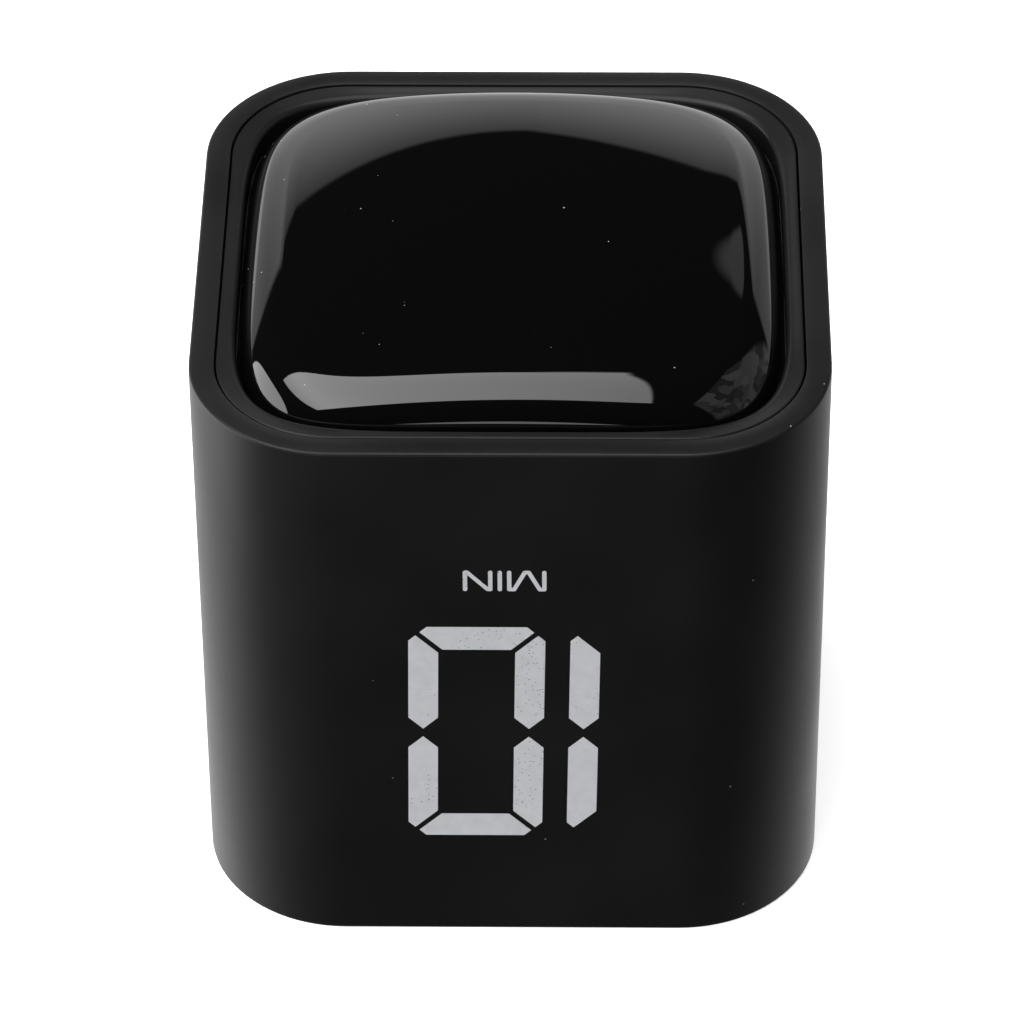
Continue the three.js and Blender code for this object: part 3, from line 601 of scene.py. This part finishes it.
def make_floor():
    n = Nodes("studio_floor")
    tone = n.window(n.noise(3, 3), 0.3, 0.7)
    n.shade(Base_Color=n.blend(tone, (0.90, 0.90, 0.90, 1), (0.92, 0.92, 0.92, 1)), Roughness=0.9)
    n.shade(Specular_IOR_Level=0.0, Emission_Color=(1, 1, 1, 1), Emission_Strength=FLOOR_GLOW)
    back = n.put("NewGeometry", {}).outputs["Backfacing"]
    through = n.put("BsdfTransparent", {})
    mixed = n.put("MixShader", {0: back, 1: n.shader.outputs[0], 2: through.outputs[0]})
    n.tree.links.new(mixed.outputs[0], n.tree.nodes["Material Output"].inputs["Surface"])
    corners = [(u * FLOOR_HALF, v * FLOOR_HALF, 0) for u, v in ((-1, -1), (1, -1), (1, 1), (-1, 1))]
    data = bpy.data.meshes.new("floor")
    data.from_pydata(corners, [], [(0, 1, 2, 3)])
    data.materials.append(n.material)
    floor = bpy.data.objects.new("floor", data)
    bpy.context.scene.collection.objects.link(floor)
    floor.visible_glossy = False
    floor.visible_diffuse = False
    floor.visible_shadow = False


DIM_ROOM = 0.015  # what the unlit rest of the room gives


class World:
    """The studio seen in reflections: soft cards in a dim room, and white for the camera."""

    def __init__(self):
        world = bpy.data.worlds.new("studio")
        bpy.context.scene.world = world
        world.use_nodes = True
        self.tree = world.node_tree
        self.tree.nodes.clear()
        self.direction = self.put("TexCoord").outputs["Generated"]

    def put(self, kind, inputs=(), **settings):
        node = self.tree.nodes.new("ShaderNode" + kind)
        for key, value in settings.items():
            setattr(node, key, value)
        for key, value in dict(inputs).items():
            if isinstance(value, bpy.types.NodeSocket):
                self.tree.links.new(value, node.inputs[key])
            else:
                node.inputs[key].default_value = value
        return node

    def math(self, operation, first, second=0.0):
        return self.put("Math", {0: first, 1: second}, operation=operation).outputs[0]

    def dot(self, axis):
        node = self.put("VectorMath", {0: self.direction, 1: axis}, operation="DOT_PRODUCT")
        return node.outputs["Value"]

    def step(self, value, low, high):
        ramp = self.put("MapRange", {0: value, 1: low, 2: high}, interpolation_type="SMOOTHSTEP")
        return ramp.outputs[0]

    def window(self, value, low, high, out_low, out_high):
        return self.put("MapRange", {0: value, 1: low, 2: high, 3: out_low, 4: out_high}).outputs[0]

    def product(self, *factors):
        total = factors[0]
        for factor in factors[1:]:
            total = self.math("MULTIPLY", total, factor)
        return total

    def between(self, value, low, high, soft):
        """1 from low to high, with soft ends."""
        rises = self.step(value, low - soft, low + soft)
        return self.product(rises, self.step(value, high + soft, high - soft))

    def facing(self, azimuth, elevation):
        """Shares across and up a plane that faces the object, and 1 on its side of the room.
        Angles are in degrees, azimuth 0 at -Y and 90 at +X."""
        a, e = math.radians(azimuth), math.radians(elevation)
        forward = Vector((math.sin(a) * math.cos(e), -math.cos(a) * math.cos(e), math.sin(e)))
        right = Vector((math.cos(a), math.sin(a), 0))
        ahead = self.dot(forward)
        depth = self.math("MAXIMUM", ahead, 0.001)
        across = self.math("DIVIDE", self.dot(right), depth)
        along = self.math("DIVIDE", self.dot(forward.cross(right)), depth)
        return across, along, self.math("GREATER_THAN", ahead, 0.0)

    def card(self, azimuth, elevation, widths, heights, soft, strength):
        """A flat panel of light that spans low to high across and up, as shares of its distance."""
        across, along, ahead = self.facing(azimuth, elevation)
        wide = self.between(across, *widths, soft)
        return self.product(ahead, wide, self.between(along, *heights, soft), strength)

    def disc(self, azimuth, elevation, half_width, half_height, soft, strength):
        """The same, but an ellipse round its middle."""
        across, along, ahead = self.facing(azimuth, elevation)
        u = self.math("DIVIDE", across, half_width)
        v = self.math("DIVIDE", along, half_height)
        reach = self.math("ADD", self.product(u, u), self.product(v, v))
        return self.product(ahead, self.step(reach, 1 + soft, 1 - soft), strength)


def backdrop(w, x, y, z):
    """A bright wall behind, brightest low down, whose top edge rises to the left."""
    left, right = w.math("MINIMUM", x, 0.0), w.math("MAXIMUM", x, 0.0)
    rise = w.math("ADD", w.product(left, left, 2.3), w.math("MINIMUM", w.product(right, 0.3), 0.05))
    top = w.math("ADD", rise, 0.40)
    below = w.math("DIVIDE", w.math("SUBTRACT", top, z), top)
    graded = w.math("ADD", w.product(w.math("MAXIMUM", below, 0.0), 3.2), 0.38)
    middle = w.product(w.window(x, -0.6, -0.2, 0.5, 1.0), w.window(x, 0.2, 0.6, 1.0, 0.36))
    level = w.math("MINIMUM", graded, w.product(middle, 1.4))
    sides = w.step(w.math("SUBTRACT", y, w.product(z, 0.2)), 0.61, 0.64)
    return w.product(level, sides, w.step(below, -0.015, 0.015))


def table(w, x, y, z):
    """The pale table all round, brighter behind and to the left."""
    level = w.product(w.window(y, -0.35, 0.4, 0.06, 1.0), w.window(x, -0.8, 0.8, 1.5, 0.7))
    return w.product(level, w.step(z, 0.02, -0.08))


def overhead(w):
    """The big softbox above: not quite square to the table, and brightest left of its middle."""
    across, along, ahead = w.facing(0, 90)
    turned = w.math("SUBTRACT", along, w.product(across, 0.3))
    slanted = w.math("ADD", across, w.product(along, 0.108))
    panel = w.product(w.between(slanted, -1.02, 0.223, 0.01), w.between(turned, -0.72, 0.58, 0.01))
    fall = w.product(w.window(across, -0.6, 0.2, 6.2, 3.4), w.window(across, -1.0, -0.7, 0.8, 1.0))
    return w.product(ahead, panel, fall)


def clutter(w):
    """The dim room to the right, full of angular shapes."""
    shapes = w.put("TexVoronoi", {"Vector": w.direction, "Scale": 6.0}, distance="CHEBYCHEV")
    tone = w.put("SeparateColor", {0: shapes.outputs["Color"]}).outputs[0]
    room = w.card(90, 0, (-1.0, 0.8), (-0.1, 1.7), 0.05, 1.0)
    return w.product(room, w.window(tone, 0.2, 0.9, 0.16, 0.6))


def make_world():
    w = World()
    x, y, z = (w.dot(axis) for axis in ((1, 0, 0), (0, 1, 0), (0, 0, 1)))
    lights = [
        w.math("MAXIMUM", backdrop(w, x, y, z), table(w, x, y, z)),
        overhead(w),
        w.disc(-90, 0, 0.66, 0.6, 0.03, 4.7),
        w.card(0, 0, (-0.7, 0.16), (-0.2, 0.16), 0.01, 2.4),
        w.disc(160, 37, 0.07, 0.085, 0.3, 0.45),
        clutter(w),
    ]
    total = lights[0]
    for light in lights[1:]:
        total = w.math("ADD", total, light)
    total = w.math("ADD", total, DIM_ROOM)
    room = w.put("Background", {"Color": (1, 1, 1, 1), "Strength": total})
    plain = w.put("Background", {"Color": (0.97, 0.97, 0.97, 1), "Strength": 1.0})
    seen = w.put("LightPath").outputs["Is Camera Ray"]
    mixed = w.put("MixShader", {0: seen, 1: room.outputs[0], 2: plain.outputs[0]})
    w.put("OutputWorld", {"Surface": mixed.outputs[0]})


def make_camera():
    azimuth, elevation, roll = math.radians(0.925), math.radians(40.007), math.radians(-0.3805)
    distance = 610.0 * MM
    shift_right, shift_up = -0.18 * MM, -1.58 * MM
    back = Vector((math.sin(azimuth) * math.cos(elevation), -math.cos(azimuth) * math.cos(elevation),
                   math.sin(elevation)))
    right = Vector((math.cos(azimuth), math.sin(azimuth), 0))
    up = back.cross(right)
    rolled_right = right * math.cos(roll) + up * math.sin(roll)
    rolled_up = up * math.cos(roll) - right * math.sin(roll)
    data = bpy.data.cameras.new("camera")
    data.sensor_width = 36.0
    data.lens = 207.33
    data.clip_start, data.clip_end = 0.01, 50.0
    camera = bpy.data.objects.new("camera", data)
    bpy.context.scene.collection.objects.link(camera)
    centre = Vector((0, 0, FACE_MIDDLE * MM))
    place = centre + back * distance + rolled_right * shift_right + rolled_up * shift_up
    turned = Matrix((rolled_right, rolled_up, back)).transposed()
    camera.matrix_world = Matrix.Translation(place) @ turned.to_4x4()
    bpy.context.scene.camera = camera


make_floor()
make_world()
make_camera()
bpy.context.scene.view_settings.view_transform = "Standard"
